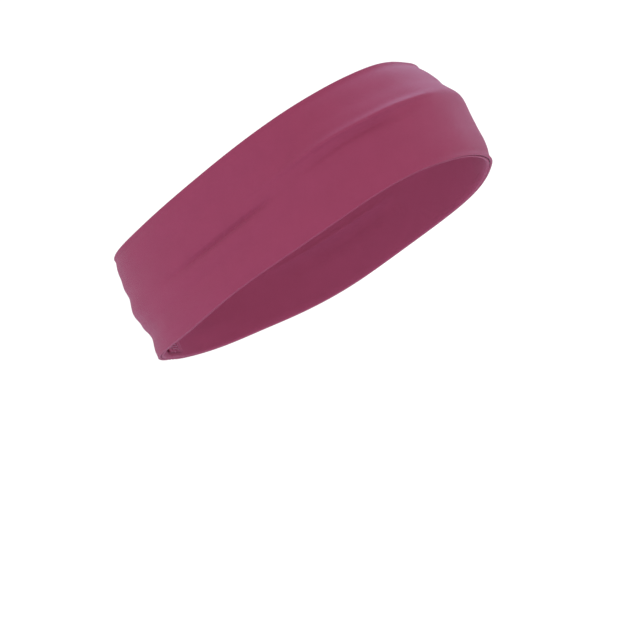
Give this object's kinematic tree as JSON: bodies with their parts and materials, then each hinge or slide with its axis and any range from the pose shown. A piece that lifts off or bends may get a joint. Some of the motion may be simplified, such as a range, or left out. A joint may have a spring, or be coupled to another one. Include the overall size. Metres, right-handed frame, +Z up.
{
  "type": "sports headband",
  "caption": "Wide double-layer stretch headband, doubled over along both edges and seamed at the nape, shaped as it sits on a head.",
  "frame": {"origin": "middle of the loop, where the head goes, which is mount head", "axes": "the wearer faces -Y with the head upright, +Z up, and the wearer's left is +X; the loop slopes down 33 degrees from forehead to nape"},
  "size_m": [0.1628, 0.1907, 0.1479],
  "materials": {
    "face_cloth": "matte",
    "lining_cloth": "matte",
    "thread": "satin"
  },
  "bodies": {
    "root": {"face_panel": "face_cloth", "lining_panel": "lining_cloth", "upper_edge_overlock": "thread", "lower_edge_overlock": "thread", "nape_turnback_left": "face_cloth", "nape_turnback_right": "face_cloth", "nape_joining_stitch": "thread", "nape_topstitch_left": "thread", "nape_topstitch_right": "thread", "nape_looper_thread": "thread", "upper_tack": "thread", "lower_tack": "thread"}
  },
  "joints": []
}
